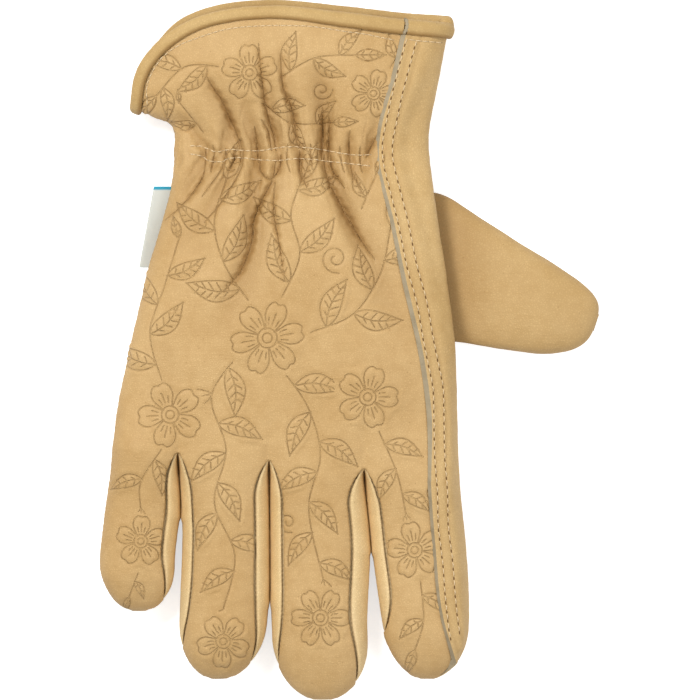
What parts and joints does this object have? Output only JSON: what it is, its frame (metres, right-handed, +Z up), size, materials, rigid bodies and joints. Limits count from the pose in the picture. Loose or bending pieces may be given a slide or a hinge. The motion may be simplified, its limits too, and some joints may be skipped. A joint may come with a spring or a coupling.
{
  "type": "leather driver glove",
  "caption": "Right-hand grain-leather driver glove lying on its palm, embossed back gathered at the wrist, lapped side seam, fourchettes, thumb and rolled cuff binding.",
  "frame": {"origin": "on the surface the palm rests on, under the middle of the glove's outline", "axes": "+Z up out of the back of the hand, +Y from the fingers to the cuff, +X towards the thumb"},
  "size_m": [0.1697, 0.2381, 0.027],
  "materials": {
    "embossed_leather": "matt tan grain, embossed",
    "smooth_leather": "matt tan grain",
    "binding_leather": "matt tan grain",
    "label_cloth": "woven, matt"
  },
  "bodies": {
    "root": {"back_panel": "embossed_leather", "palm_panel": "smooth_leather", "thumb": "smooth_leather", "fourchette_little_ring": "smooth_leather", "fourchette_ring_middle": "smooth_leather", "fourchette_middle_index": "smooth_leather", "cuff_binding_back": "binding_leather", "cuff_binding_palm": "binding_leather", "side_label": "label_cloth"}
  },
  "joints": []
}
